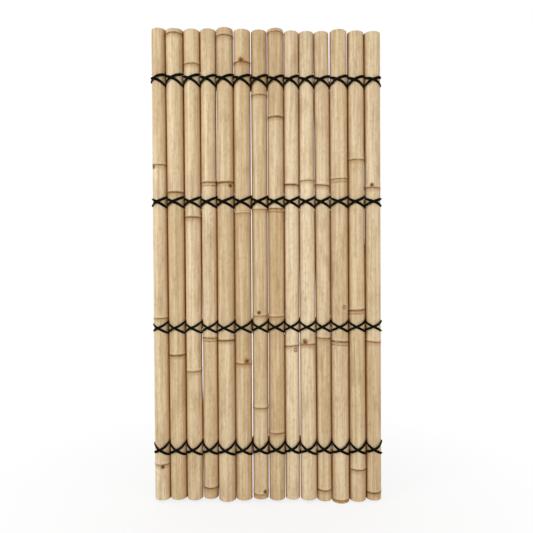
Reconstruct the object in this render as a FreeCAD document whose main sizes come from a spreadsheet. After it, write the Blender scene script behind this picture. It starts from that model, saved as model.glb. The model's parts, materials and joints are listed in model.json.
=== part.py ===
import FreeCAD, Part, Sketcher
import math
import os

# Bamboo fence panel: whole poles side by side, laced to split laths behind with two cords a row.
# Millimetres, Z up, poles across X, the front faces -Y. The origin is under the middle of the panel.

os.makedirs("parts", exist_ok=True)
doc = FreeCAD.newDocument("bamboo_fence_panel")
sizes = doc.addObject("Spreadsheet::Sheet", "sizes")

# Flats round a pole: with 20 the section stays within 0.4 mm of a true round
pole_flats = 20
half_flat_angle = 180 / pole_flats

shared_sizes = {
    "cut_length": 1800,
    "left_edge_lean": 16.5,
    "pole_wall": 7,
    "diaphragm": 6,
    "ring_rise": 1.2,
    "ring_below": 4,
    "ring_above": 6,
    "cord_width": 8.5,
    "cord_thickness": 2.8,
    "cord_gathered": 5.0,
    "cord_squeezed": 0.9,
    "cord_clearance": 0.35,
    "crossing_clearance": 1.6,
    "lane_gap": 2.2,
    "top_lath_height": 34,
    "upper_lath_height": 28,
    "lower_lath_height": 31,
    "bottom_lath_height": 36,
    "lath_radius": 25,
    "lath_wall": 7,
    "lath_seat": 0.2,
    "lath_end_inset": 12,
    "cord_end_inset": 18,
    "cord_tail": 14,
    "top_row_drop": 180,
    "bottom_row_height": 209,
    "top_row_rise": -7,
    "upper_row_rise": 1,
    "lower_row_rise": 7,
    "bottom_row_rise": 3,
    "upper_row_shift": 4,
    "lower_row_shift": -4,
}

# Each pole: its diameter at the foot and at the top, how far its foot is cut short of the lowest foot,
# what its length is over the nominal cut, and its nodes' heights above its own foot
poles = [
    (59.3, 54.7, 10, 8, [135, 695, 1283]),
    (61.5, 65.8, 13, -1, [551, 1174, 1782]),
    (60.5, 62.3, 11, 0, [491, 1081, 1668]),
    (56.3, 60.0, 14, -1, [41, 610, 1206]),
    (65.1, 63.6, 7, 9, [614, 1218, 1780]),
    (62.5, 64.8, 11, -2, [520, 1097, 1673]),
    (59.7, 60.6, 14, -6, [18, 347, 700, 1108, 1546]),
    (60.1, 60.1, 10, 5, [255, 701, 1109, 1466, 1792]),
    (55.0, 57.1, 11, -5, [588, 1206]),
    (61.8, 55.9, 11, -6, [594, 1222]),
    (55.5, 57.0, 5, -1, [40, 624, 1210]),
    (64.5, 65.2, 0, 8, [11, 610, 1233]),
    (62.5, 62.1, 6, -2, [120, 724, 1306]),
    (58.0, 62.0, 9, -7, [28, 606, 1196]),
]

# What each gap between two poles has to spare over the squeezed cord, at the foot and at the top
gap_spares = [
    (0.5, 0.5),
    (0.4, 0.4),
    (1.2, 0.6),
    (1.0, 1.2),
    (0.2, 0.4),
    (0.8, 1.4),
    (1.2, 1.6),
    (1.2, 0.4),
    (1.6, 0.2),
    (1.2, 0.4),
    (0.2, 3.4),
    (0.2, 0.4),
    (0.4, 1.6),
]


def number(index):
    return f"{index + 1:02d}"


def write_sheet():
    entries = list(shared_sizes.items())
    for i, (foot_diameter, top_diameter, foot_rise, trim, nodes) in enumerate(poles):
        entries.append((f"foot_diameter_{number(i)}", foot_diameter))
        entries.append((f"top_diameter_{number(i)}", top_diameter))
        entries.append((f"foot_rise_{number(i)}", foot_rise))
        entries.append((f"trim_{number(i)}", trim))
        for j, height in enumerate(nodes):
            entries.append((f"node_{number(i)}_{j + 1}", height))
    for i, (foot_spare, top_spare) in enumerate(gap_spares):
        entries.append((f"foot_spare_{number(i)}", foot_spare))
        entries.append((f"top_spare_{number(i)}", top_spare))
    for row, (alias, value) in enumerate(entries, start=1):
        sizes.set(f"A{row}", alias)
        sizes.set(f"B{row}", str(value))
        sizes.setAlias(f"B{row}", alias)


write_sheet()
doc.recompute()


def size(alias):
    return float(sizes.get(alias))


# Where the poles stand

def pole_length(i):
    return size("cut_length") + size(f"trim_{number(i)}")


def end_centres(end):
    """The poles' centres across the panel at one end, foot or top, from its left edge."""
    start = 0 if end == "foot" else -size("left_edge_lean")
    cord_room = size("cord_squeezed") + 2 * size("cord_clearance")
    centres = []
    edge = start
    for i in range(len(poles)):
        diameter = size(f"{end}_diameter_{number(i)}")
        centres.append(edge + diameter / 2)
        edge += diameter
        if i < len(gap_spares):
            edge += cord_room + size(f"{end}_spare_{number(i)}")
    return centres


foot_centres = end_centres("foot")
top_centres = end_centres("top")


def pole_ends(i):
    """Centres of a pole's two end faces. The poles' backs lie against the plane y = 0."""
    foot_radius = size(f"foot_diameter_{number(i)}") / 2
    top_radius = size(f"top_diameter_{number(i)}") / 2
    foot_height = size(f"foot_rise_{number(i)}")
    foot = FreeCAD.Vector(foot_centres[i], -foot_radius, foot_height)
    top = FreeCAD.Vector(top_centres[i], -top_radius, foot_height + pole_length(i))
    return foot, top


def pole_axis_at(i, height):
    foot, top = pole_ends(i)
    return foot + (top - foot) * ((height - foot.z) / (top.z - foot.z))


def node_aliases(i):
    """The nodes that are left on a pole once it is cut to length, lowest first."""
    aliases = [f"node_{number(i)}_{j + 1}" for j in range(len(poles[i][4]))]
    highest = pole_length(i) - size("ring_above")
    kept = [alias for alias in aliases if size("ring_below") < size(alias) < highest]
    return sorted(kept, key=size)


def pole_taper(i):
    difference = size(f"top_diameter_{number(i)}") - size(f"foot_diameter_{number(i)}")
    return difference / 2 / pole_length(i)


def pole_radius_at(i, height):
    """A pole's radius between its nodes, at a height above the ground."""
    up = height - size(f"foot_rise_{number(i)}")
    return size(f"foot_diameter_{number(i)}") / 2 + pole_taper(i) * up


def widest_radius_near(i, height, reach):
    """The widest radius of a pole within reach of a height above the ground, its rings counted."""
    up = height - size(f"foot_rise_{number(i)}")
    widest = pole_radius_at(i, height) + abs(pole_taper(i)) * reach
    for alias in node_aliases(i):
        ring_low = size(alias) - size("ring_below")
        ring_high = size(alias) + size("ring_above")
        if ring_low < up + reach and ring_high > up - reach:
            widest += size("ring_rise")
    return widest


# Poles

def radius_expression(i, height):
    """A pole's radius at a height above its foot, to the corners of its flats."""
    foot = f"sizes.foot_diameter_{number(i)}"
    top = f"sizes.top_diameter_{number(i)}"
    share = f"({height}) / (sizes.cut_length + sizes.trim_{number(i)})"
    return f"({foot} + ({top} - {foot}) * {share}) / 2 / cos({half_flat_angle})"


def make_section(name, radius, height):
    section = doc.addObject("Part::RegularPolygon", name)
    section.Polygon = pole_flats
    section.Placement = FreeCAD.Placement(
        FreeCAD.Vector(), FreeCAD.Rotation(FreeCAD.Vector(0, 0, 1), half_flat_angle)
    )
    section.setExpression("Circumradius", radius)
    section.setExpression("Placement.Base.z", height)
    return section


def make_bore(name, radius, depth, start):
    bore = doc.addObject("Part::Prism", name)
    bore.Polygon = pole_flats
    bore.Placement = FreeCAD.Placement(
        FreeCAD.Vector(), FreeCAD.Rotation(FreeCAD.Vector(0, 0, 1), half_flat_angle)
    )
    bore.setExpression("Circumradius", f"{radius} - sizes.pole_wall")
    bore.setExpression("Height", depth)
    bore.setExpression("Placement.Base.z", start)
    return bore


def make_pole(i):
    """A pole cut from a culm: straight internodes, a raised ring at each node, both ends hollow."""
    name = f"pole_{number(i)}"
    length = f"(sizes.cut_length + sizes.trim_{number(i)})"
    nodes = [f"sizes.{alias}" for alias in node_aliases(i)]
    sections = [make_section(f"{name}_foot", radius_expression(i, "0"), "0")]
    for j, node in enumerate(nodes):
        low = f"{node} - sizes.ring_below"
        high = f"{node} + sizes.ring_above"
        crest = f"{radius_expression(i, node)} + sizes.ring_rise"
        sections += [
            make_section(f"{name}_ring_{j + 1}_low", radius_expression(i, low), low),
            make_section(f"{name}_ring_{j + 1}_crest", crest, node),
            make_section(f"{name}_ring_{j + 1}_high", radius_expression(i, high), high),
        ]
    sections.append(make_section(f"{name}_top", radius_expression(i, length), length))
    skin = doc.addObject("Part::Loft", f"{name}_skin")
    skin.Sections = sections
    skin.Solid = True
    skin.Ruled = True
    skin.Linearize = True

    first_node = nodes[0] if nodes else length
    last_node = nodes[-1] if nodes else "0"
    foot_bore = make_bore(
        f"{name}_foot_bore",
        radius_expression(i, "0"),
        f"{first_node} - sizes.diaphragm / 2",
        "0",
    )
    top_bore = make_bore(
        f"{name}_top_bore",
        radius_expression(i, length),
        f"{length} - {last_node} - sizes.diaphragm / 2",
        f"{last_node} + sizes.diaphragm / 2",
    )
    open_foot = doc.addObject("Part::Cut", f"{name}_open_foot")
    open_foot.Base = skin
    open_foot.Tool = foot_bore
    pole = doc.addObject("Part::Cut", name)
    pole.Base = open_foot
    pole.Tool = top_bore
    pole.Label = name
    foot, top = pole_ends(i)
    pole.Placement = FreeCAD.Placement(
        foot, FreeCAD.Rotation(FreeCAD.Vector(0, 0, 1), top - foot)
    )
    return pole


# Rows: the laths and the cords that lace the poles to them

row_names = ["top", "upper", "lower", "bottom"]

# A cord runs round a pole as an octagon does, and this is half its side over its inner radius
octagon_half_side = math.tan(math.pi / 8)

# The length below which a direction's level part, or a bend, counts as none
nearly_none = 0.05


def row_height(row):
    """Height of a row at the middle of the panel. The two middle rows share the span evenly."""
    top = size("cut_length") - size("top_row_drop")
    bottom = size("bottom_row_height")
    third = (top - bottom) / 3
    heights = {
        "top": top,
        "upper": top - third + size("upper_row_shift"),
        "lower": bottom + third + size("lower_row_shift"),
        "bottom": bottom,
    }
    return heights[row]


def panel_edges(height):
    last = len(poles) - 1
    left = pole_axis_at(0, height).x - pole_radius_at(0, height)
    right = pole_axis_at(last, height).x + pole_radius_at(last, height)
    return left, right


def row_slope(row):
    left, right = panel_edges(row_height(row))
    return size(f"{row}_row_rise") / (right - left)


def row_height_at(row, across):
    left, right = panel_edges(row_height(row))
    return row_height(row) + row_slope(row) * (across - (left + right) / 2)


def lath_seat_plane(row):
    """Where the proudest pole's back lies behind the row, its rings counted."""
    reach = size(f"{row}_lath_height") / 2
    backs = []
    for i in range(len(poles)):
        height = row_height_at(row, pole_axis_at(i, row_height(row)).x)
        backs.append(pole_axis_at(i, height).y + widest_radius_near(i, height, reach))
    return max(backs) + size("lath_seat")


def lath_depth(row):
    """From the lath's two long edges, which bear on the poles, to its crown."""
    half_height = size(f"{row}_lath_height") / 2
    cosine = math.sqrt(1 - (half_height / size("lath_radius")) ** 2)
    return size("lath_radius") - (size("lath_radius") - size("lath_wall")) * cosine


def origin_plane(body, role):
    return next(feature for feature in body.Origin.OriginFeatures if feature.Role == role)


def make_lath(row):
    """A lath split from a larger culm: a piece of tube wall, its hollow side to the poles."""
    name = f"lath_{row}"
    body = doc.addObject("PartDesign::Body", name)
    body.Label = name
    sketch = body.newObject("Sketcher::SketchObject", f"{name}_section")
    sketch.AttachmentSupport = (origin_plane(body, "YZ_Plane"), [""])
    sketch.MapMode = "FlatFace"

    outer_radius = size("lath_radius")
    inner_radius = outer_radius - size("lath_wall")
    half_height = size(f"{row}_lath_height") / 2
    half_angle = math.asin(half_height / outer_radius)
    centre = FreeCAD.Vector(-inner_radius * math.cos(half_angle), 0, 0)
    axis = FreeCAD.Vector(0, 0, 1)
    outer = sketch.addGeometry(
        Part.ArcOfCircle(Part.Circle(centre, axis, outer_radius), -half_angle, half_angle)
    )
    inner = sketch.addGeometry(
        Part.ArcOfCircle(Part.Circle(centre, axis, inner_radius), -half_angle, half_angle)
    )
    along = FreeCAD.Vector(math.cos(half_angle), math.sin(half_angle), 0)
    down = FreeCAD.Vector(along.x, -along.y, 0)
    upper = sketch.addGeometry(
        Part.LineSegment(centre + along * inner_radius, centre + along * outer_radius)
    )
    lower = sketch.addGeometry(
        Part.LineSegment(centre + down * inner_radius, centre + down * outer_radius)
    )
    start, end, middle = 1, 2, 3
    rules = [
        ("Coincident", inner, middle, outer, middle),
        ("PointOnObject", outer, middle, -1),
        ("Coincident", upper, start, inner, end),
        ("Coincident", upper, end, outer, end),
        ("Coincident", lower, start, inner, start),
        ("Coincident", lower, end, outer, start),
        ("PointOnObject", outer, middle, upper),
        ("PointOnObject", outer, middle, lower),
        ("PointOnObject", inner, start, -2),
        ("PointOnObject", inner, end, -2),
    ]
    for rule in rules:
        sketch.addConstraint(Sketcher.Constraint(*rule))
    outer_rule = sketch.addConstraint(Sketcher.Constraint("Radius", outer, outer_radius))
    inner_rule = sketch.addConstraint(Sketcher.Constraint("Radius", inner, inner_radius))
    height_rule = sketch.addConstraint(
        Sketcher.Constraint("DistanceY", outer, start, outer, end, 2 * half_height)
    )
    sketch.renameConstraint(outer_rule, "outer_radius")
    sketch.renameConstraint(inner_rule, "inner_radius")
    sketch.renameConstraint(height_rule, "height")
    sketch.setExpression("Constraints.outer_radius", "sizes.lath_radius")
    sketch.setExpression("Constraints.inner_radius", "sizes.lath_radius - sizes.lath_wall")
    sketch.setExpression("Constraints.height", f"sizes.{row}_lath_height")

    left, right = panel_edges(row_height(row))
    run = body.newObject("PartDesign::Pad", f"{name}_run")
    run.Profile = sketch
    run.Length = right - left
    run.setExpression("Length", f"{right - left} - 2 * sizes.lath_end_inset")
    start_across = left + size("lath_end_inset")
    body.Placement = FreeCAD.Placement(
        FreeCAD.Vector(start_across, lath_seat_plane(row), row_height_at(row, start_across)),
        FreeCAD.Rotation(FreeCAD.Vector(0, -1, 0), math.degrees(math.atan(row_slope(row)))),
    )
    return body


def lane_heights(row):
    """Heights above a row's middle at which the two cords pass over the lath, near one first."""
    near = size(f"{row}_lath_height") / 2 + size("cord_clearance") + size("cord_gathered") / 2
    return near, near + size("cord_gathered") + size("lane_gap")


def cord_route(row, over):
    """The lacing: across each pole, back through the gap, round the lath and out again.

    The cord that lies under falls to the right across each pole and climbs behind the lath.
    The one that lies over rises to the right and comes down behind the lath.
    Each stop on the route is a place, and the cord's thickness and width there: its two strands
    lie side by side on a pole, and gather in a gap and behind the lath.
    """
    near_lane, far_lane = lane_heights(row)
    side = 1 if over else -1
    leaving = side * far_lane
    entering = -side * near_lane
    thickness = size("cord_thickness")
    spread = (thickness, size("cord_width"))
    gathered = (thickness, size("cord_gathered"))
    offset = side * (thickness + size("cord_clearance")) / 2
    to_middle = size("cord_clearance") + thickness / 2
    lift = size("crossing_clearance") + thickness if over else 0
    behind = lath_seat_plane(row) + lath_depth(row)
    behind += size("cord_clearance") + size("cord_gathered") / 2
    last = len(poles) - 1

    axes = [pole_axis_at(i, row_height(row)) for i in range(len(poles))]
    radii = []
    for i in range(len(poles)):
        height = row_height_at(row, axes[i].x)
        radius = widest_radius_near(i, height, size("cord_width") / 2)
        radii.append(radius / math.cos(math.radians(half_flat_angle)) + to_middle)

    def gap_middle(i, above):
        """Across the panel, the middle of the gap to the right of a pole, in one of the lanes."""
        height = row_height_at(row, axes[max(i, 0)].x) + above
        if i < 0:
            return pole_axis_at(0, height).x - radii[0]
        right_side = pole_axis_at(i, height).x
        if i == last:
            return right_side + radii[last]
        right_side += pole_radius_at(i, height)
        left_side = pole_axis_at(i + 1, height).x - pole_radius_at(i + 1, height)
        return (right_side + left_side) / 2

    def point(across, depth, above):
        return FreeCAD.Vector(across, depth, row_height_at(row, across) + above)

    def throat(i, gap, above):
        """Beside a pole. In a gap the cord is so placed and so thin that it clears both poles."""
        forward = octagon_half_side * radii[i]
        depth = axes[i].y - forward
        if gap < 0 or gap == last:
            return (point(gap_middle(gap, above), depth, above), *spread)
        share = forward / (behind - depth)
        squeezed = (size("cord_squeezed") - share * thickness) / (1 - share)
        drift = offset * share / (1 - share)
        return point(gap_middle(gap, above) - drift, depth, above), squeezed, size("cord_gathered")

    left_tail = gap_middle(-1, entering) + size("cord_end_inset") + offset
    right_tail = gap_middle(last, leaving) - size("cord_end_inset") + offset
    left_turn = axes[0].y + octagon_half_side * radii[0]
    right_turn = axes[last].y + octagon_half_side * radii[last]
    stops = [
        (point(left_tail, behind, entering + side * size("cord_tail")), *gathered),
        (point(left_tail, behind, entering), *gathered),
        (point(gap_middle(-1, entering), left_turn, entering), *gathered),
    ]
    for i in range(len(poles)):
        fall = (leaving - entering) / 3
        half_middle = octagon_half_side * (radii[i] + lift)
        front = axes[i].y - radii[i] - lift
        stops += [
            throat(i, i - 1, entering),
            (point(axes[i].x - half_middle, front, entering + fall), *spread),
            (point(axes[i].x + half_middle, front, leaving - fall), *spread),
            throat(i, i, leaving),
        ]
        if i < last:
            across = (gap_middle(i, leaving) + gap_middle(i, entering)) / 2 + offset
            stops += [
                (point(across, behind, leaving), *gathered),
                (point(across, behind, entering), *gathered),
            ]
    stops += [
        (point(gap_middle(last, leaving), right_turn, leaving), *gathered),
        (point(right_tail, behind, leaving), *gathered),
        (point(right_tail, behind, leaving - side * size("cord_tail")), *gathered),
    ]
    return stops


def cord_sections(stops):
    """A flat cord's outline at each stop, mitred, its flat side to what it lies on."""
    places = [place for place, thickness, width in stops]
    runs = [(after - before).normalize() for before, after in zip(places, places[1:])]
    flats = []
    flat = FreeCAD.Vector(1, 0, 0)
    for run in runs:
        level = FreeCAD.Vector(run.y, -run.x, 0)
        if level.Length < nearly_none:
            level = flat
        if level.dot(flat) < 0:
            level = -level
        flat = (level - run * level.dot(run)).normalize()
        flats.append(flat)
    outlines = []
    for k, (place, thickness, width) in enumerate(stops):
        before = max(k - 1, 0)
        after = min(k, len(runs) - 1)
        normal = (runs[before] + runs[after]).normalize()
        across = flats[before] + flats[after]
        across = (across - normal * across.dot(normal)).normalize()
        along = normal.cross(across)
        bend = runs[after] - runs[before]
        stretch = 1 / math.sqrt(1 - (bend.Length / 2) ** 2)
        bend = bend.normalize() if bend.Length > nearly_none else FreeCAD.Vector()
        corners = []
        for a, b in ((1, 1), (1, -1), (-1, -1), (-1, 1)):
            corner = across * (a * thickness / 2) + along * (b * width / 2)
            corner += bend * (corner.dot(bend) * (stretch - 1))
            corners.append(place + corner)
        outlines.append(corners)
    return outlines


def flat_face(*corners):
    return Part.Face(Part.makePolygon(list(corners) + [corners[0]]))


def cord_solid(outlines):
    """Joins the outlines with flat faces, two to a side because a cord that turns is twisted."""
    faces = [flat_face(*outlines[0]), flat_face(*reversed(outlines[-1]))]
    for here, there in zip(outlines, outlines[1:]):
        for k in range(4):
            after = (k + 1) % 4
            faces.append(flat_face(here[k], there[k], there[after]))
            faces.append(flat_face(here[k], there[after], here[after]))
    shell = Part.makeShell(faces)
    shell.sewShape()
    return Part.makeSolid(shell)


def make_cord(row, over):
    name = f"cord_{row}_{'over' if over else 'under'}"
    cord = doc.addObject("Part::Feature", name)
    cord.Label = name
    cord.Shape = cord_solid(cord_sections(cord_route(row, over)))
    cord.Placement = FreeCAD.Placement()
    return cord


pieces = [make_pole(i) for i in range(len(poles))]
pieces += [make_lath(row) for row in row_names]
pieces += [make_cord(row, over) for row in row_names for over in (False, True)]
doc.recompute()


def centre_panel():
    """Puts the origin under the middle of the whole panel."""
    box = FreeCAD.BoundBox()
    for piece in pieces:
        box.add(piece.Shape.BoundBox)
    shift = FreeCAD.Vector(-box.Center.x, -box.Center.y, -box.ZMin)
    for piece in pieces:
        place = piece.Placement
        place.Base += shift
        piece.Placement = place


centre_panel()

for item in doc.Objects:
    if "Invalid" in item.State or "Error" in item.State:
        raise RuntimeError(f"{item.Label} did not build: {item.State}")
for piece in pieces:
    if piece.Shape.isNull() or not piece.Shape.isValid():
        raise RuntimeError(f"{piece.Label} has no valid shape")
for piece in pieces:
    piece.Shape.exportStep(f"parts/{piece.Label}.step")
    print(piece.Label, len(piece.Shape.Solids), round(piece.Shape.Volume), piece.Shape.BoundBox)
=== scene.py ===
import bmesh
import bpy
import json
import math
import random
import numpy as np
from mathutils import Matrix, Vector

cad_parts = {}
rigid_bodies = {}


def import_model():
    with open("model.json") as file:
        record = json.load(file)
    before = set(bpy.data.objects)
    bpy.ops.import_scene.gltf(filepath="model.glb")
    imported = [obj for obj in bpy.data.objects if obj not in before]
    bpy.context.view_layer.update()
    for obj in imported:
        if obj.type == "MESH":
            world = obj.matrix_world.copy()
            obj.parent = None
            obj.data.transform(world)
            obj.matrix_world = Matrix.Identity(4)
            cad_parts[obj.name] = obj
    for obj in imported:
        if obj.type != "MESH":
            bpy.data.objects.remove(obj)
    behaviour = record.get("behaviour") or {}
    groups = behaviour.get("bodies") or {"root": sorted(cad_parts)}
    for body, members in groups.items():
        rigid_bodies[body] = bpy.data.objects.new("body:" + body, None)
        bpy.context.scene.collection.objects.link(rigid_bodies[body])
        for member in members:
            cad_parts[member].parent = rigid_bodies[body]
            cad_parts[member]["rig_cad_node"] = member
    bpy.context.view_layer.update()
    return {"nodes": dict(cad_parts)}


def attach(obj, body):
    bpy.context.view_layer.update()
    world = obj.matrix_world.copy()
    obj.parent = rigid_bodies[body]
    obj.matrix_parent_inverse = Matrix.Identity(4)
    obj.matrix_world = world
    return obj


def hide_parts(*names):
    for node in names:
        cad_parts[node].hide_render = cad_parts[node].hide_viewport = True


# Bamboo fence panel: fourteen culms laced to four split laths with black cord.
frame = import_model()
print("frame loaded:", len(frame["nodes"]), "solids")


# Camera, light and backdrop

viewSettings = {
    "place": (0.0005, -1.942, 0.9036),
    "lens": 33.8,
    "sensor": 36,
    "aim": (0, 0, 0.95),
    "skyStrength": 0.6,
    "skyColor": (1, 0.99, 0.98, 1),
    "keyPlace": (-2.9, -2.3, 2.2),
    "keySize": 1.6,
    "keyPower": 60,
    "keyColor": (1, 0.98, 0.95),
    "fillPlace": (2.6, -2.4, 1.3),
    "fillSize": 2.0,
    "fillPower": 26,
    "fillColor": (1, 0.95, 0.87),
    "white": (1, 1, 1, 1),
    "floorColor": (0.92, 0.92, 0.92, 1),
    "floorRoughness": 0.7,
    "floorHalf": 6,
    "whiteFrom": 0.3,
    "whiteTo": 1.3,
    "whiteLeast": 0.8,
}


def hexColor(red, green, blue):
    # a colour as it is picked from a picture, 0 to 255, to what a shader takes
    parts = []
    for value in (red, green, blue):
        value = value / 255
        parts.append(value / 12.92 if value <= 0.04045 else ((value + 0.055) / 1.055) ** 2.4)
    return (*parts, 1)


def place(tree, kind, wires=None, **settings):
    # puts a node in a tree, sets it, and wires or fills its inputs
    node = tree.nodes.new(kind)
    for key, value in settings.items():
        setattr(node, key, value)
    for key, value in (wires or {}).items():
        socket = node.inputs[key]
        if isinstance(value, bpy.types.NodeSocket):
            tree.links.new(value, socket)
        else:
            socket.default_value = value
    return node


def calc(tree, operation, *values):
    return place(tree, "ShaderNodeMath", dict(enumerate(values)), operation=operation).outputs[0]


def times(tree, first, *others):
    for other in others:
        first = calc(tree, "MULTIPLY", first, other)
    return first


def mapShare(tree, value, low, high, toLow=0.0, toHigh=1.0):
    return place(tree, "ShaderNodeMapRange", {"Value": value, "From Min": low, "From Max": high,
                 "To Min": toLow, "To Max": toHigh}).outputs[0]


def startMaterial(name):
    material = bpy.data.materials.new(name)
    material.use_nodes = True
    material.node_tree.nodes.clear()
    return material, material.node_tree


def addCamera():
    camera = bpy.data.objects.new("panelCamera", bpy.data.cameras.new("panelCamera"))
    camera.data.lens = viewSettings["lens"]
    camera.data.sensor_width = viewSettings["sensor"]
    camera.location = viewSettings["place"]
    camera.rotation_euler = (math.radians(90), 0, 0)
    bpy.context.scene.collection.objects.link(camera)
    bpy.context.scene.camera = camera


def addLight(name):
    light = bpy.data.lights.new(f"{name}Light", "AREA")
    light.shape = "DISK"
    light.size = viewSettings[f"{name}Size"]
    light.energy = viewSettings[f"{name}Power"]
    light.color = viewSettings[f"{name}Color"]
    lamp = bpy.data.objects.new(f"{name}Light", light)
    lamp.location = viewSettings[f"{name}Place"]
    aim = Vector(viewSettings["aim"]) - lamp.location
    lamp.rotation_euler = aim.to_track_quat("-Z", "Y").to_euler()
    bpy.context.scene.collection.objects.link(lamp)


def seenDirectly(tree):
    # 1 for rays from the camera and for mirrored or refracted ones, 0 for the light on things
    seen = place(tree, "ShaderNodeLightPath").outputs
    either = calc(tree, "MAXIMUM", seen["Is Camera Ray"], seen["Is Glossy Ray"])
    return calc(tree, "MAXIMUM", either, seen["Is Transmission Ray"])


def addWorld():
    world = bpy.data.worlds.new("studio")
    world.use_nodes = True
    tree = world.node_tree
    tree.nodes.clear()
    soft = place(tree, "ShaderNodeBackground", {"Color": viewSettings["skyColor"],
                 "Strength": viewSettings["skyStrength"]})
    white = place(tree, "ShaderNodeBackground", {"Color": viewSettings["white"], "Strength": 1})
    mixed = place(tree, "ShaderNodeMixShader", {0: seenDirectly(tree), 1: soft.outputs[0],
                  2: white.outputs[0]})
    place(tree, "ShaderNodeOutputWorld", {"Surface": mixed.outputs[0]})
    bpy.context.scene.world = world


def addFloor():
    half = viewSettings["floorHalf"]
    mesh = bpy.data.meshes.new("floor")
    mesh.from_pydata([(-half, -half, 0), (half, -half, 0), (half, half, 0), (-half, half, 0)],
                     [], [(0, 1, 2, 3)])
    floor = bpy.data.objects.new("floor", mesh)
    bpy.context.scene.collection.objects.link(floor)
    material, tree = startMaterial("paleFloor")
    where = place(tree, "ShaderNodeTexCoord").outputs["Object"]
    far = place(tree, "ShaderNodeVectorMath", {0: where}, operation="LENGTH").outputs["Value"]
    whiten = mapShare(tree, far, viewSettings["whiteFrom"], viewSettings["whiteTo"],
                      viewSettings["whiteLeast"])
    matte = place(tree, "ShaderNodeBsdfPrincipled", {"Base Color": viewSettings["floorColor"],
                  "Roughness": viewSettings["floorRoughness"]})
    glow = place(tree, "ShaderNodeEmission", {"Color": viewSettings["white"], "Strength": 1})
    mixed = place(tree, "ShaderNodeMixShader", {0: times(tree, whiten, seenDirectly(tree)),
                  1: matte.outputs[0], 2: glow.outputs[0]})
    place(tree, "ShaderNodeOutputMaterial", {"Surface": mixed.outputs[0]})
    mesh.materials.append(material)


bpy.context.scene.view_settings.view_transform = "Standard"
addCamera()
addWorld()
addLight("key")
addLight("fill")
addFloor()
print("camera, lights and floor set")


# What the culms are like

# Each culm: its nodes above its own foot in mm, the share of pale in each internode from the foot
# up, how far each node rises to the right in mm, which nodes show two rings, how dark each scar is,
# and its marks as (mm above the foot, degrees right of the front, kind): 1 bud scar, 2 amber eye,
# 3 slit, 4 mildew, 5 branch stub with a stained ring
culms = [
    {"nodes": [135, 695, 1283], "pale": [0.86, 0.56, 0.58, 0.3], "rise": [0.5, 0.8, -1.2],
     "double": [0, 0, 0], "scars": [0.45, 0.5, 0.6],
     "marks": [(128, 10, 1), (1276, -46, 1)]},
    {"nodes": [551, 1174, 1782], "pale": [0.32, 0.27, 0.57, 0.4], "rise": [0.6, -0.8, 0],
     "double": [0, 0, 0], "scars": [0.85, 0.9, 0.8],
     "marks": []},
    {"nodes": [491, 1081, 1668], "pale": [0.53, 0.66, 0.53, 0.45], "rise": [1.5, -0.6, 0.4],
     "double": [0, 0, 0], "scars": [0.45, 0.75, 0.6],
     "marks": []},
    {"nodes": [41, 610, 1206], "pale": [0.11, 0.37, 0.73, 0.51], "rise": [0.4, -0.8, 0.6],
     "double": [0, 1, 1], "scars": [0.7, 0.6, 0.7],
     "marks": []},
    {"nodes": [614, 1218, 1780], "pale": [0.53, 0.36, 0.42, 0.1], "rise": [0.8, 1.2, -0.5],
     "double": [0, 0, 0], "scars": [0.85, 1.0, 0.7],
     "marks": [(1205, 38, 1)]},
    {"nodes": [520, 1097, 1673], "pale": [0.28, 0.15, 0.29, 0.44], "rise": [-1.2, 0.6, 0.8],
     "double": [0, 0, 0], "scars": [0.6, 0.3, 0.9],
     "marks": [(531, 25, 5), (1679, -4, 5)]},
    {"nodes": [18, 347, 700, 1108, 1546], "pale": [0.2, 0.49, 0.38, 0.27, 0.37, 0.1],
     "rise": [0.4, -0.6, 0.8, -0.7, 0.5], "double": [0, 0, 0, 0, 0],
     "scars": [0.4, 0.5, 0.4, 0.35, 0.6],
     "marks": [(28, 32, 1), (713, -8, 1), (1010, -35, 4)]},
    {"nodes": [255, 701, 1109, 1466, 1792], "pale": [0.34, 0.05, 0.07, 0.5, 0.23, 0],
     "rise": [0.6, 0.9, -0.6, 0.3, 0], "double": [0, 0, 1, 0, 0],
     "scars": [0.6, 0.45, 0.6, 0.95, 0.5],
     "marks": [(505, -35, 3), (688, -6, 4), (1478, -22, 4)]},
    {"nodes": [588, 1206], "pale": [0.9, 0.87, 0.74], "rise": [2.2, -0.9], "double": [0, 0],
     "scars": [0.6, 0.9],
     "marks": [(572, 26, 2)]},
    {"nodes": [594, 1222], "pale": [0.8, 0.89, 0.71], "rise": [0.3, 1.4], "double": [0, 0],
     "scars": [0.6, 0.45],
     "marks": [(604, -24, 5)]},
    {"nodes": [40, 624, 1210], "pale": [0.36, 0.42, 0.6, 0.6], "rise": [-0.6, -2.2, -2.6],
     "double": [0, 0, 0], "scars": [0.7, 0.55, 0.7],
     "marks": []},
    {"nodes": [11, 610, 1233], "pale": [0, 0.55, 0.43, 0.46], "rise": [0.2, -2.6, 1.2],
     "double": [0, 1, 1], "scars": [0.5, 0.8, 0.45],
     "marks": [(748, 26, 2), (1113, -55, 4)]},
    {"nodes": [120, 724, 1306], "pale": [0.29, 0.41, 0.41, 0.55], "rise": [-0.8, 2, 0.7],
     "double": [0, 1, 0], "scars": [0.65, 0.8, 0.6],
     "marks": []},
    {"nodes": [28, 606, 1196], "pale": [0.1, 0.22, 0.54, 0.6], "rise": [0.5, -2.4, -0.8],
     "double": [0, 0, 0], "scars": [0.8, 0.6, 0.6],
     "marks": [(1206, -15, 1)]},
]
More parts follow.
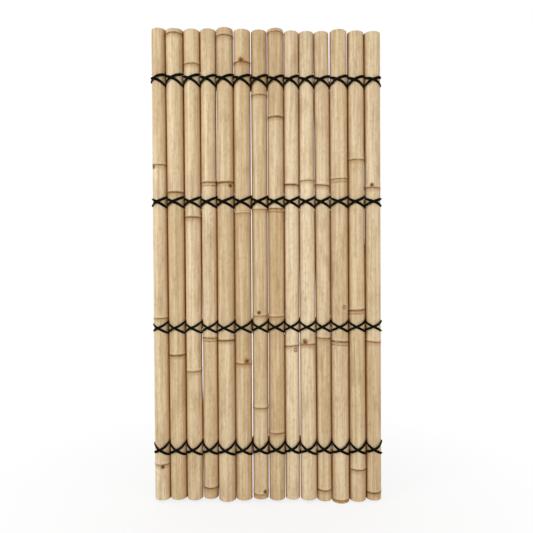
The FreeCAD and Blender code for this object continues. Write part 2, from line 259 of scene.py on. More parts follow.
culmCut = {
    "flats": 20,
    "pointsAround": 56,
    "wall": 7,
    "diaphragm": 6,
    "rimRound": 0.5,
    "rimRow": 3,
    "rimSpare": 0.6,
    "boreRound": 1.5,
    "boreEdge": 0.2,
    "boreRows": 4,
    "rowStep": 26,
    "closest": 0.3,
    "closeRows": 0.05,
    "oval": 0.006,
    "uneven": 0.0005,
    "lumpsUp": 9.0,
    "lumpNoise": (1.3, 1.0),
    "swell": 0.25,
    "swellFade": 30,
    "ringRise": 1.2,
    "ringBelow": 4,
    "ringAbove": 6,
    "ringRows": (-6, -2.6, -0.4, 0.4, 1.4, 3.2, 8),
    "askewReach": 45,
    "wobble": 3.6,
    "wobbleReach": 60,
    "wobbleNoise": (2.6, 2.0),
    "endSpare": 2,
    "endFade": 12,
    "raised": (1, 2, 5),
    "budRise": 1.1,
    "budSpread": 6,
    "skinSpare": 0.06,
    "rowReach": 31,
    "rowFade": 7,
    "rowGap": 1.3,
    "flankPower": 6,
    "paintedRightShadePower": 3.0,
}
# How far apart two neighbours' skins are, in mm, by height above the ground: culms are not quite
# straight, so some are pressed shut and some let light through
gapWidths = [
    [(0, 0.1)],
    [(0, 0.1)],
    [(0, 3.2), (60, 1.6), (180, 0.3), (380, 0.3), (430, 2.8), (500, 4.2), (600, 3.4), (700, 1.4),
     (800, 0.7), (900, 0.1), (1800, 0.1)],
    [(0, 3.0), (70, 0.3), (300, 0.1), (1150, 0.1), (1200, 1.0), (1240, 2.6), (1500, 2.4),
     (1580, 1.6), (1640, 0.8), (1800, 1.0)],
    [(0, 0.1), (1600, 0.1), (1650, 2.0), (1800, 2.4)],
    [(0, 4.4), (200, 4.0), (700, 3.8), (1150, 3.2), (1250, 3.6), (1450, 3.2), (1650, 2.8),
     (1800, 3.2)],
    [(0, 3.8), (180, 2.8), (260, 1.9), (1800, 1.9)],
    [(0, 2.6), (190, 1.6), (260, 0.2), (1560, 0.2), (1640, 1.2), (1800, 1.4)],
    [(0, 2.8), (190, 2.3), (300, 2.4), (400, 3.3), (600, 3.4), (660, 2.0), (760, 1.3), (900, 0.2),
     (1250, 0.1), (1800, 0.1)],
    [(0, 1.4), (60, 0.3), (640, 0.2), (690, 1.6), (800, 1.6), (900, 0.2), (1120, 0.2), (1180, 1.5),
     (1420, 1.6), (1520, 0.1), (1640, 0.8), (1800, 0.3)],
    [(0, 1.0), (40, 0.1), (1590, 0.1), (1640, 4.0), (1800, 5.4)],
    [(0, 0.1), (1590, 0.1), (1640, 2.6), (1800, 2.8)],
    [(0, 0.1), (950, 0.1), (1010, 2.4), (1290, 2.6), (1400, 0.2), (1800, 0.1)],
]
# The skin's height over the straight internode, in mm, by its distance above the sheath scar
singleRing = [(-16, 0), (-9, 0.1), (-4, 0.6), (-1.6, 1.0), (-0.8, 0.5), (0, 0),
              (0.8, 0.2), (2.2, 0.9), (4.2, 1.15), (6.5, 0.9), (10, 0.35), (16, 0)]
doubleRing = [(-26, 0), (-17, 0.3), (-14, 0.7), (-13, 0.15), (-12, 0.6), (-7, 1.0), (-2, 1.0),
              (-0.8, 0.55), (0, 0), (0.8, 0.25), (2.4, 1.0), (4.4, 1.1), (8, 0.6), (16, 0)]
doubleShift = 6


# how near to a solid's end its end face's corners lie, in metres
faceSlack = 0.0012


def readSolid(node, axis):
    # a solid's points, and those of its two end faces along an axis, the first end first
    points = np.array([v.co for v in frame["nodes"][node].data.vertices])
    points = np.unique(np.round(points, 6), axis=0)
    along = points[:, axis]
    return points, [points[abs(along - end) < faceSlack] for end in (along.min(), along.max())]


def readPole(index):
    # a pole's axis and radii, from the end faces of its solid
    ends = []
    for face in readSolid(f"pole_{index + 1:02d}", 2)[1]:
        middle = (face.min(0) + face.max(0)) / 2
        corner = np.linalg.norm(face[:, :2] - middle[:2], axis=1).max()
        ends.append((Vector(middle), float(corner) * math.cos(math.pi / culmCut["flats"])))
    (foot, footRadius), (top, topRadius) = ends
    return {"foot": foot, "top": top, "footRadius": footRadius, "topRadius": topRadius,
            "length": (top - foot).length, "nodes": culms[index]["nodes"]}


poles = [readPole(index) for index in range(len(culms))]


# Each lath: its nodes from the left end in mm, and the share of pale in each internode
laths = {
    "top": {"nodes": [176, 585], "pale": [0.4, 0.5, 0.3]},
    "upper": {"nodes": [62, 468, 801], "pale": [0.3, 0.2, 0.45, 0.4]},
    "lower": {"nodes": [301, 706], "pale": [0.2, 0.4, 0.3]},
    "bottom": {"nodes": [118, 527], "pale": [0.5, 0.35, 0.2]},
}


def readLath(row):
    # the line that a row follows, and the planes of the lath's edges and crown
    points, faces = readSolid(f"lath_{row}", 0)
    (left, seat), (right, crown) = points[:, :2].min(0).tolist(), points[:, :2].max(0).tolist()
    edges = [(float(face[:, 2].min()), float(face[:, 2].max())) for face in faces]
    leftHeight, rightHeight = [(low + high) / 2 for low, high in edges]
    return {"left": left, "right": right, "leftHeight": leftHeight,
            "height": edges[1][1] - edges[1][0], "seat": seat, "crown": crown,
            "slope": (rightHeight - leftHeight) / (right - left)}


rows = {row: readLath(row) for row in laths}


def levelOf(line, across):
    # how high a row runs at a place across the panel
    return line["leftHeight"] + line["slope"] * (across - line["left"])


def axisAt(pole, height):
    share = (height - pole["foot"].z) / (pole["top"].z - pole["foot"].z)
    return pole["foot"].lerp(pole["top"], share)


def radiusAt(pole, height):
    share = (height - pole["foot"].z) / (pole["top"].z - pole["foot"].z)
    return pole["footRadius"] + (pole["topRadius"] - pole["footRadius"]) * share


# Geometry nodes: rings swept into culms, laths and cords

mergeReach = 0.000002


def startTree(name, inputs):
    tree = bpy.data.node_groups.new(name, "GeometryNodeTree")
    for label, kind in {"Geometry": "Geometry", **inputs}.items():
        tree.interface.new_socket(label, in_out="INPUT", socket_type=f"NodeSocket{kind}")
    tree.interface.new_socket("Geometry", in_out="OUTPUT", socket_type="NodeSocketGeometry")
    return tree, tree.nodes.new("NodeGroupInput").outputs


def calcVector(tree, operation, *values):
    node = place(tree, "ShaderNodeVectorMath", dict(enumerate(values)), operation=operation)
    return node.outputs["Value" if operation == "LENGTH" else "Vector"]


def combine(tree, x, y, z=0.0):
    return place(tree, "ShaderNodeCombineXYZ", {0: x, 1: y, 2: z}).outputs[0]


def scaleVector(tree, vector, factor):
    node = place(tree, "ShaderNodeVectorMath", {"Vector": vector, "Scale": factor},
                 operation="SCALE")
    return node.outputs["Vector"]


def readValue(tree, name, kind="FLOAT"):
    return place(tree, "GeometryNodeInputNamedAttribute", {"Name": name},
                 data_type=kind).outputs["Attribute"]


def keepValue(tree, geometry, name, value, kind="FLOAT"):
    return place(tree, "GeometryNodeStoreNamedAttribute", {"Geometry": geometry, "Name": name,
                 "Value": value}, data_type=kind, domain="POINT").outputs["Geometry"]


def sweepRings(tree, given, capEnds):
    # one ring of points for each row; a later Set Position says where they go
    around = given["Points Around"]
    curve = place(tree, "GeometryNodeMeshToCurve", {"Mesh": given["Geometry"]}).outputs[0]
    ring = place(tree, "GeometryNodeCurvePrimitiveCircle", {"Resolution": around, "Radius": 0.001})
    step = calc(tree, "DIVIDE", 2 * math.pi, around)
    angle = times(tree, place(tree, "GeometryNodeInputIndex").outputs[0], step)
    ring = keepValue(tree, ring.outputs["Curve"], "turn", angle)
    return place(tree, "GeometryNodeCurveToMesh", {"Curve": curve, "Profile Curve": ring,
                 "Fill Caps": capEnds}).outputs["Mesh"]


def closeTree(tree, geometry, where, material):
    # moves the rings' points to their places and makes one smooth mesh of them
    for kind, wires in (("GeometryNodeSetPosition", {"Position": where}),
                        ("GeometryNodeMergeByDistance", {"Distance": mergeReach}),
                        ("GeometryNodeSetShadeSmooth", {}),
                        ("GeometryNodeRealizeInstances", {}),
                        ("GeometryNodeSetMaterial", {"Material": material})):
        geometry = place(tree, kind, {"Geometry": geometry, **wires}).outputs[0]
    place(tree, "NodeGroupOutput", {"Geometry": geometry})
    return tree


def culmTree():
    tree, given = startTree("culm", {
        "Foot": "Vector", "Upward": "Vector", "Points Around": "Int", "Oval": "Float",
        "Uneven": "Float", "Seed": "Float", "Wobble": "Float", "Bud Rise": "Float",
        "Bud Spread": "Float", "Flank Power": "Float", "Left Neighbour": "Float",
        "Right Neighbour": "Float", "Material": "Material"})
    skin = sweepRings(tree, given, False)
    turn = readValue(tree, "turn")
    radius = readValue(tree, "rowRadius")
    onSkin = readValue(tree, "rowSkin")
    sine = calc(tree, "SINE", turn)
    cosine = calc(tree, "COSINE", turn)
    spot = combine(tree, sine, cosine,
                   times(tree, readValue(tree, "rowHeight"), culmCut["lumpsUp"]))

    def lumps(scale, detail):
        size = place(tree, "ShaderNodeTexNoise", {"Vector": spot, "W": given["Seed"],
                     "Scale": scale, "Detail": detail}, noise_dimensions="4D").outputs[0]
        return calc(tree, "SUBTRACT", size, 0.5)

    # not quite round, and a little lumpy, as grown
    twice = calc(tree, "COSINE", calc(tree, "MULTIPLY_ADD", turn, 2.0, given["Seed"]))
    oval = calc(tree, "MULTIPLY_ADD", twice, given["Oval"], 1.0)
    lump = times(tree, lumps(*culmCut["lumpNoise"]), given["Uneven"], onSkin)
    radius = calc(tree, "ADD", times(tree, radius, oval), lump)

    # a node that runs askew lifts its rings on the right, and no ring runs quite true
    rise = times(tree, readValue(tree, "rowRise"), sine)
    askew = times(tree, lumps(*culmCut["wobbleNoise"]), given["Wobble"])
    rise = calc(tree, "MULTIPLY_ADD", askew, readValue(tree, "rowWobble"), rise)
    height = calc(tree, "ADD", readValue(tree, "rowHeight"), rise)

    # how far round from the nearest mark, the same on both sides of it, and a knob under a bud
    away = calc(tree, "SUBTRACT", turn, readValue(tree, "markTurn"))
    away = calc(tree, "ABSOLUTE", calc(tree, "WRAP", away, math.pi, -math.pi))
    beside = times(tree, away, radius)
    above = calc(tree, "SUBTRACT", height, readValue(tree, "markHeight"))
    mark = combine(tree, beside, above, readValue(tree, "markKind"))
    skin = keepValue(tree, skin, "mark", mark, "FLOAT_VECTOR")
    reach = calcVector(tree, "LENGTH", combine(tree, beside, above))
    knob = calc(tree, "SUBTRACT", 1.0, calc(tree, "DIVIDE", reach, given["Bud Spread"]))
    knob = calc(tree, "MAXIMUM", knob, 0.0)
    knob = times(tree, knob, knob, given["Bud Rise"], readValue(tree, "rowBud"))
    radius = calc(tree, "ADD", radius, knob)

    # its flanks reach towards its neighbours, or stand back where light shows between them
    rightHalf = calc(tree, "MAXIMUM", sine, 0.0)
    leftHalf = calc(tree, "MAXIMUM", times(tree, sine, -1.0), 0.0)
    toRight = calc(tree, "POWER", rightHalf, given["Flank Power"])
    toLeft = calc(tree, "POWER", leftHalf, given["Flank Power"])
    onRight = times(tree, calc(tree, "SUBTRACT", readValue(tree, "rowRight"), radius), toRight)
    onLeft = times(tree, calc(tree, "SUBTRACT", readValue(tree, "rowLeft"), radius), toLeft)
    radius = calc(tree, "ADD", radius, times(tree, calc(tree, "ADD", onRight, onLeft), onSkin))
    # painted shade: how near a point is to a neighbour's flank, for the dark crease between them
    paintedCreaseShadeMask = calc(tree, "ADD", times(tree, toRight, given["Right Neighbour"]),
                  times(tree, toLeft, given["Left Neighbour"]))
    skin = keepValue(tree, skin, "paintedCreaseShadeMask", paintedCreaseShadeMask)
    # painted shade: how far round to the right a point lies, for the darker, warmer right side
    paintedRightShadeMask = calc(tree, "POWER", rightHalf, culmCut["paintedRightShadePower"])
    skin = keepValue(tree, skin, "paintedRightShadeMask", paintedRightShadeMask)
    local = combine(tree, times(tree, radius, sine), times(tree, radius, cosine, -1.0), height)
    lean = place(tree, "FunctionNodeAlignRotationToVector", {"Vector": given["Upward"]},
                 axis="Z").outputs[0]
    turned = place(tree, "FunctionNodeRotateVector", {"Vector": local, "Rotation": lean}).outputs[0]
    return closeTree(tree, skin, calcVector(tree, "ADD", turned, given["Foot"]),
                     given["Material"])


def rowMesh(name, rings):
    # a chain of points, one for each ring, with what each ring carries
    count = len(rings)
    mesh = bpy.data.meshes.new(name)
    mesh.from_pydata([(0.01 * k, 0, 0) for k in range(count)],
                     [(k, k + 1) for k in range(count - 1)], [])
    for label in rings[0]:
        numbers = np.array([ring[label] for ring in rings], dtype=np.float32)
        kind, slot = ("FLOAT_VECTOR", "vector") if numbers.ndim == 2 else ("FLOAT", "value")
        mesh.attributes.new(label, kind, "POINT").data.foreach_set(slot, numbers.ravel())
    return mesh


def grow(name, mesh, tree, inputs):
    # runs a tree on a chain of points and keeps the result as a plain mesh, faces outwards
    carrier = bpy.data.objects.new(name + "Rows", mesh)
    bpy.context.scene.collection.objects.link(carrier)
    modifier = carrier.modifiers.new("grow", "NODES")
    modifier.node_group = tree
    for item in tree.interface.items_tree:
        if item.in_out == "INPUT" and item.name in inputs:
            modifier[item.identifier] = inputs[item.name]
    evaluated = carrier.evaluated_get(bpy.context.evaluated_depsgraph_get())
    grown = bpy.data.meshes.new_from_object(evaluated)
    carrier.modifiers.remove(modifier)
    bpy.data.objects.remove(carrier)
    faceOutwards(grown)
    piece = bpy.data.objects.new(name, grown)
    bpy.context.scene.collection.objects.link(piece)
    return piece


def joinPieces(pieces):
    # puts several meshes into the first piece
    whole = bmesh.new()
    for piece in pieces:
        whole.from_mesh(piece.data)
    whole.to_mesh(pieces[0].data)
    whole.free()
    for piece in pieces[1:]:
        bpy.data.objects.remove(piece)
    return pieces[0]


def faceOutwards(mesh):
    mesh.calc_loop_triangles()
    corners = np.empty(len(mesh.loop_triangles) * 3, dtype=np.int32)
    mesh.loop_triangles.foreach_get("vertices", corners)
    points = np.empty(len(mesh.vertices) * 3)
    mesh.vertices.foreach_get("co", points)
    a, b, c = points.reshape(-1, 3)[corners.reshape(-1, 3)].transpose(1, 0, 2)
    if np.einsum("ij,ij->i", a, np.cross(b, c)).sum() < 0:
        mesh.flip_normals()


# Shader parts that more than one finish uses

def mixColor(tree, share, first, second):
    return place(tree, "ShaderNodeMix", {0: share, 6: first, 7: second},
                 data_type="RGBA").outputs[2]


def tint(tree, color, other, *shares):
    # as much of another colour as its shares multiply to
    return mixColor(tree, times(tree, *shares), color, other)


def noise(tree, vector, scale, detail=2.0, rough=0.5):
    return place(tree, "ShaderNodeTexNoise", {"Vector": vector, "Scale": scale,
                 "Detail": detail, "Roughness": rough}).outputs[0]


def grain(tree, vector, along, *settings):
    # noise drawn out along Z, the more the smaller "along" is
    drawn = place(tree, "ShaderNodeVectorMath", {0: vector, 1: (1, 1, along)},
                  operation="MULTIPLY").outputs[0]
    return noise(tree, drawn, *settings)


def band(tree, value, middle, half, soft):
    # 1 within half of middle, fading to 0 over soft
    away = calc(tree, "ABSOLUTE", calc(tree, "SUBTRACT", value, middle))
    return mapShare(tree, away, half + soft, half)


def between(tree, value, start, full, end, gone):
    # rises from start to full, and falls from end to gone
    return times(tree, mapShare(tree, value, start, full), mapShare(tree, value, gone, end))


def attribute(tree, name, output="Fac"):
    return place(tree, "ShaderNodeAttribute", attribute_name=name).outputs[output]


def finishMaterial(tree, color, rough, height, look):
    bump = place(tree, "ShaderNodeBump", {"Height": height, "Strength": look["bump"],
                 "Distance": look["bumpDepth"]})
    shader = place(tree, "ShaderNodeBsdfPrincipled", {"Base Color": color, "Roughness": rough,
                   "Specular IOR Level": look["specular"], "Normal": bump.outputs[0]})
    place(tree, "ShaderNodeOutputMaterial", {"Surface": shader.outputs[0]})


# Each noise: how drawn out, scale, detail, roughness; each layer: its noise's limits
fibreLook = {
    "fine": (0.012, 520.0, 3.0, 0.6),
    "wide": (0.03, 90.0, 3.0, 0.55),
    "clouds": (0.35, 26.0, 4.0, 0.6),
    "mottle": (0.45, 110.0, 4.0, 0.7),
    "Streaks": (0.45, 0.68),
    "Clouds": (0.5, 0.72),
    "Mottle": (0.48, 0.7),
    "lightLimits": (0.5, 0.25),
    "light": (0.86, 0.76, 0.56, 1),
    "lightShare": 0.35,
}


def fibreGroup():
    # long fibres in a culm's skin: streaks, broad clouds and a height for the bump
    group = bpy.data.node_groups.new("bambooFibre", "ShaderNodeTree")
    for label, kind in (("Vector", "Vector"), ("Color", "Color"), ("Dark", "Color"),
                        ("Streaks", "Float"), ("Clouds", "Float"), ("Mottle", "Float")):
        group.interface.new_socket(label, in_out="INPUT", socket_type=f"NodeSocket{kind}")
    for label, kind in (("Color", "Color"), ("Height", "Float"), ("Patch", "Float")):
        group.interface.new_socket(label, in_out="OUTPUT", socket_type=f"NodeSocket{kind}")
    given = group.nodes.new("NodeGroupInput").outputs
    fine, wide, clouds, mottle = [grain(group, given["Vector"], *fibreLook[name])
                                  for name in ("fine", "wide", "clouds", "mottle")]
    streak = calc(group, "ADD", times(group, fine, 0.5), times(group, wide, 0.5))
    color = given["Color"]
    for label, value in (("Streaks", streak), ("Clouds", clouds), ("Mottle", mottle)):
        share = mapShare(group, value, *fibreLook[label])
        color = tint(group, color, given["Dark"], share, given[label])
    share = mapShare(group, wide, *fibreLook["lightLimits"])
    color = tint(group, color, fibreLook["light"], share, fibreLook["lightShare"])
    place(group, "NodeGroupOutput", {"Color": color, "Height": streak, "Patch": clouds})
    return group


fibres = fibreGroup()
skinLook = {
    "pale": hexColor(236, 219, 184),
    "brown": hexColor(202, 174, 130),
    "streak": hexColor(150, 114, 70),
    # painted shade: warm darkens each culm's right side, and flank is the dark brown of the crease
    # beside a neighbour
    "paintedRightShade": hexColor(198, 146, 84),
    "flank": hexColor(142, 80, 12),
    "dirt": hexColor(118, 82, 44),
    "scar": hexColor(66, 38, 14),
    "belowScar": hexColor(184, 138, 80),
    "overRing": hexColor(232, 216, 184),
    "bud": hexColor(66, 42, 22),
    "amber": hexColor(190, 132, 66),
    "mildew": hexColor(112, 98, 70),
    "cut": hexColor(206, 176, 128),
    "bore": hexColor(186, 150, 102),
    "streaks": 0.58,
    "clouds": 0.4,
    "mottle": 0.36,
    "raggedNoise": (160.0, 3.0),
    "ragged": (0.003, -0.0015),
    "paintedRightShadeShare": 0.4,
    "paintedCreaseShadePower": 1.6,
    "paintedCreaseShadeShare": 0.85,
    "pithNoise": (900.0, 1.0),
    "pithLimits": (0.45, 0.62),
    "boreGrain": (0.1, 200.0),
    "boreLimits": (0.4, 0.7),
    "shine": (0.3, 0.7, 0.36, 0.5),
    "dullness": 0.45,
    "bump": 0.35,
    "bumpDepth": 0.0006,
    "specular": 0.3,
}
# Round a scar, by the distance up from it in metres: a browner band below, a pale ring above,
# amber beside, then its dark broken line, thinner where the scar is faint, a fainter second line
# where there are two rings, and grains of dirt
scarLook = {
    "below": (-0.02, -0.001, -0.0006, 0.0006),
    "belowShare": 0.6,
    "above": (0.0005, 0.002, 0.003, 0.014),
    "aboveShare": 0.35,
    "amber": (0.0, 0.0015, 0.0055),
    "amberShare": 0.45,
    "brokenNoise": (75.0, 2.0),
    "broken": (0.3, 0.5, 0.35, 1.0),
    "faint": (0.2, 0.9, 0.45, 1.0),
    "half": (0.004, 0.0012),
    "power": 0.6,
    "second": (-0.013, 0.0012, 0.0018),
    "secondBroken": (0.42, 0.56, 0.2, 0.9),
    "share": 0.95,
    "dirtGrain": (1.5, 150.0, 5.0, 0.75),
    "dirtLimits": (0.44, 0.6),
    "dirtReach": (-0.02, -0.002, 0.001, 0.01),
    "dirtShare": 0.85,
}
# Each layer of a round mark: its kind, how its distance is measured, where it is gone and where
# it is full in metres, its strength and its colour
markLayers = [
    (1, "straight", 0.016, 0.006, 0.4, "amber"),
    (1, "straight", 0.0095, 0.005, 0.9, "bud"),
    (5, "straight", 0.026, 0.01, 0.45, "amber"),
    (5, "rayed", 0.0295, 0.0215, 0.9, "dirt"),
    (5, "straight", 0.008, 0.004, 0.7, "bud"),
    (2, "straight", 0.0095, 0.005, 0.55, "amber"),
    (2, "ringed", 0.0026, 0.001, 0.7, "bud"),
]
markLook = {
    "wobbleNoise": (220.0, 2.0),
    "wobble": (0.004, -0.002),
    "rayNoise": (260.0, 3.0, 0.7),
    "rays": 0.03,
    "ringRadius": 0.0068,
    "slitWidth": (0.0018, 0.0008),
    "slitLength": (0.014, 0.008),
    "slitShare": 0.8,
    "speckNoise": (420.0, 1.0),
    "specks": (0.62, 0.7),
    "strewnNoise": (9.0, 1.0),
    "strewn": (0.56, 0.72, 0.0, 0.5),
    "patch": (0.03, 0.01),
    "speckShare": 0.7,
}


def addScar(tree, color, where, gap, ragged):
    look = scarLook
    dark = attribute(tree, "nodeDark")
    for name, other in (("below", "belowScar"), ("above", "overRing")):
        share = between(tree, gap, *look[name])
        color = tint(tree, color, skinLook[other], share, look[name + "Share"])
    share = band(tree, gap, *look["amber"])
    color = tint(tree, color, skinLook["amber"], share, dark, look["amberShare"])
    broken = mapShare(tree, noise(tree, where, *look["brokenNoise"]), *look["broken"])
    broken = times(tree, broken, mapShare(tree, dark, *look["faint"]))
    half = calc(tree, "MULTIPLY_ADD", dark, *look["half"])
    line = calc(tree, "DIVIDE", calc(tree, "ABSOLUTE", gap), half)
    line = calc(tree, "MAXIMUM", calc(tree, "SUBTRACT", 1.0, line), 0.0)
    line = times(tree, calc(tree, "POWER", line, look["power"]), broken)
    second = times(tree, band(tree, gap, *look["second"]), broken, attribute(tree, "nodeDouble"),
                   mapShare(tree, ragged, *look["secondBroken"]))
    color = tint(tree, color, skinLook["scar"], calc(tree, "MAXIMUM", line, second), look["share"])
    dirty = mapShare(tree, grain(tree, where, *look["dirtGrain"]), *look["dirtLimits"])
    near = between(tree, gap, *look["dirtReach"])
    return tint(tree, color, skinLook["dirt"], dirty, near, dark, look["dirtShare"])


def addMarks(tree, color, where):
    # beside and above the middle of the nearest mark, and its kind
    look = markLook
    mark = place(tree, "ShaderNodeSeparateXYZ", {0: attribute(tree, "mark", "Vector")})
    beside, above, kind = mark.outputs
    wobble = calc(tree, "MULTIPLY_ADD", noise(tree, where, *look["wobbleNoise"]), *look["wobble"])
    beside = calc(tree, "ADD", beside, wobble)
    away = calc(tree, "SQRT", calc(tree, "ADD", calc(tree, "POWER", beside, 2.0),
                calc(tree, "POWER", above, 2.0)))
    rays = noise(tree, where, *look["rayNoise"])
    offRing = calc(tree, "ABSOLUTE", calc(tree, "SUBTRACT", away, look["ringRadius"]))
    distances = {"straight": away, "ringed": offRing,
                 "rayed": calc(tree, "MULTIPLY_ADD", rays, look["rays"], away)}

    def isKind(number):
        return calc(tree, "COMPARE", kind, number, 0.4)

    for number, measure, gone, full, strength, other in markLayers:
        share = mapShare(tree, distances[measure], gone, full)
        color = tint(tree, color, skinLook[other], share, isKind(number), strength)
    across, along = calc(tree, "ABSOLUTE", beside), calc(tree, "ABSOLUTE", above)
    color = tint(tree, color, skinLook["mildew"], mapShare(tree, across, *look["slitWidth"]),
                 mapShare(tree, along, *look["slitLength"]), isKind(3), look["slitShare"])
    specks = mapShare(tree, noise(tree, where, *look["speckNoise"]), *look["specks"])
    strewn = mapShare(tree, noise(tree, where, *look["strewnNoise"]), *look["strewn"])
    patch = times(tree, mapShare(tree, away, *look["patch"]), isKind(4))
    return tint(tree, color, skinLook["mildew"], specks, calc(tree, "MAXIMUM", patch, strewn),
                look["speckShare"])


def culmMaterial():
    look = skinLook
    material, tree = startMaterial("culmSkin")
    where = place(tree, "ShaderNodeTexCoord").outputs["Object"]
    color = mixColor(tree, attribute(tree, "pale"), look["brown"], look["pale"])
    fibre = place(tree, "ShaderNodeGroup", {"Vector": where, "Color": color,
                  "Dark": look["streak"], "Streaks": look["streaks"], "Clouds": look["clouds"],
                  "Mottle": look["mottle"]}, node_tree=fibres).outputs
    ragged = noise(tree, where, *look["raggedNoise"])
    gap = calc(tree, "ADD", attribute(tree, "nodeGap"),
               calc(tree, "MULTIPLY_ADD", ragged, *look["ragged"]))

    # painted shade: a culm is tinted warmer and darker on its right, the side turned from the key
    # light, and painted brown deep in the groove beside a neighbour, where shade falls
    color = tint(tree, fibre["Color"], look["paintedRightShade"], attribute(tree, "paintedRightShadeMask"),
                 look["paintedRightShadeShare"])
    # painted shade in the crease between neighbours, which is also made duller there
    groove = calc(tree, "POWER", attribute(tree, "paintedCreaseShadeMask"), look["paintedCreaseShadePower"])
    color = tint(tree, color, look["flank"], groove, look["paintedCreaseShadeShare"])
    color = addScar(tree, color, where, gap, ragged)
    color = addMarks(tree, color, where)

    # the sawn ends and the hollow
    onSkin = attribute(tree, "rowSkin")
    pith = mapShare(tree, noise(tree, where, *look["pithNoise"]), *look["pithLimits"])
    pith = mixColor(tree, pith, look["cut"], look["streak"])
    inside = mapShare(tree, grain(tree, where, *look["boreGrain"]), *look["boreLimits"])
    inside = mixColor(tree, inside, look["bore"], look["streak"])
    color = mixColor(tree, onSkin, mixColor(tree, attribute(tree, "rowCut"), inside, pith), color)
    dull = calc(tree, "MAXIMUM", calc(tree, "SUBTRACT", 1.0, onSkin), groove)
    rough = calc(tree, "MULTIPLY_ADD", dull, look["dullness"],
                 mapShare(tree, fibre["Patch"], *look["shine"]))
    finishMaterial(tree, color, rough, fibre["Height"], look)
    return material


# Culms

# Stands in for the marks of a culm that has none, too far below its foot to show
noMark = (-500, 0, 0)


def flankRadius(index, other, height, radius):
    # how far a culm's flank stands from its axis on the side of a neighbour, in metres
    pole = poles[index]
    if not 0 <= other < len(poles):
        return radius / 1000
    up = pole["foot"].z + height / 1000
    own = radiusAt(pole, up)
    away = axisAt(poles[other], up) - axisAt(pole, up)
    apart = math.hypot(away.x, away.y) - own - radiusAt(poles[other], up)
    heights, widths = zip(*gapWidths[min(index, other)])
    wanted = np.interp(up * 1000, heights, widths) / 1000

    # where the cords are pulled in between them, culms don't close up quite so far
    nearest = min(abs(levelOf(line, pole["foot"].x) - up) for line in rows.values()) * 1000
    closing = min(1, max(0, (nearest - culmCut["rowReach"]) / culmCut["rowFade"]))
    wanted += max(0, culmCut["rowGap"] / 1000 - wanted) * (1 - closing)
    ring = radius / 1000 - own - culmCut["swell"] / 1000
    flank = own + (apart - wanted) / 2 + ring
    return min(flank, own + apart / 2 - culmCut["skinSpare"] / 1000)


def skinHeights(pole, looks, scars):
    # where rings of the skin stand, in mm above the foot: closer at scars, marks and rows of cord
    length = pole["length"] * 1000
    rim = culmCut["rimRound"]
    last = length - rim
    heights = {rim, rim + culmCut["rimRow"], last - culmCut["rimRow"], last}
    heights |= set(np.linspace(rim, last, round(length / culmCut["rowStep"]) + 1))
    for scar, twin in zip(scars, looks["double"]):
        steps = [step for step, rise in (doubleRing if twin else singleRing)]
        near = {scar + step for step in (*steps, *culmCut["ringRows"])}
        spare = culmCut["rimSpare"]
        heights |= {height for height in near if rim + spare < height < last - spare}
    for mark in looks["marks"] or [noMark]:
        near = {mark[0] + step for step in range(-culmCut["budSpread"], culmCut["budSpread"] + 1, 2)}
        heights |= {height for height in near if rim < height < last}
    for line in rows.values():
        up = (levelOf(line, pole["foot"].x) - pole["foot"].z) * 1000
        edge = culmCut["rowReach"]
        heights |= {up + side * reach for side in (-1, 1)
                    for reach in (edge, edge + culmCut["rowFade"])}
    heights = sorted(heights)
    kept = [heights[0]]
    for height in heights[1:]:
        if height - kept[-1] > culmCut["closest"]:
            kept.append(height)
    return kept


def culmRings(pole, looks, scars):
    # height and radius in mm, on the skin or not, on a sawn face or not, from the diaphragm above
    # the foot out round the rim, up the skin and into the top
    length, footRadius, topRadius = (pole[key] * 1000 for key in ("length", "footRadius",
                                                                  "topRadius"))
    rim, bevel, count = culmCut["rimRound"], culmCut["boreRound"], culmCut["boreRows"]
    inset, edge = culmCut["rimRow"], culmCut["boreEdge"]
    firstWall = min(looks["nodes"]) - culmCut["diaphragm"] / 2
    lastWall = max(looks["nodes"]) + culmCut["diaphragm"] / 2
    footBore = footRadius - culmCut["wall"]
    topBore = topRadius - culmCut["wall"]
    rings = [(firstWall, 0, 0, 0), (firstWall, footBore - bevel, 0, 0),
             (firstWall - bevel, footBore, 0, 0)]
    rings += [(h, footBore, 0, 0) for h in np.linspace(firstWall - inset, inset, count)]
    rings += [(rim + edge, footBore, 0, 0), (rim, footBore, 0, 1), (0, footBore + rim, 0, 1)]
    rings += [(0, footRadius - rim, 0, 1)]
    for height in skinHeights(pole, looks, scars):
        radius = footRadius + (topRadius - footRadius) * (height / length)
        fade = culmCut["swellFade"]
        radius += culmCut["swell"] * min(1, height / fade, (length - height) / fade)
        for scar, twin in zip(scars, looks["double"]):
            steps, rises = zip(*(doubleRing if twin else singleRing))
            radius += np.interp(height - scar, steps, rises, 0, 0)
        rings.append((height, radius, 1, 0))
    rings += [(length, topRadius - rim, 0, 1), (length, topBore + rim, 0, 1)]
    rings += [(length - rim, topBore, 0, 1), (length - rim - edge, topBore, 0, 0)]
    rings += [(h, topBore, 0, 0) for h in np.linspace(length - inset, lastWall + inset, count)]
    rings += [(lastWall + bevel, topBore, 0, 0), (lastWall, topBore - bevel, 0, 0),
              (lastWall, 0, 0, 0)]
    return rings


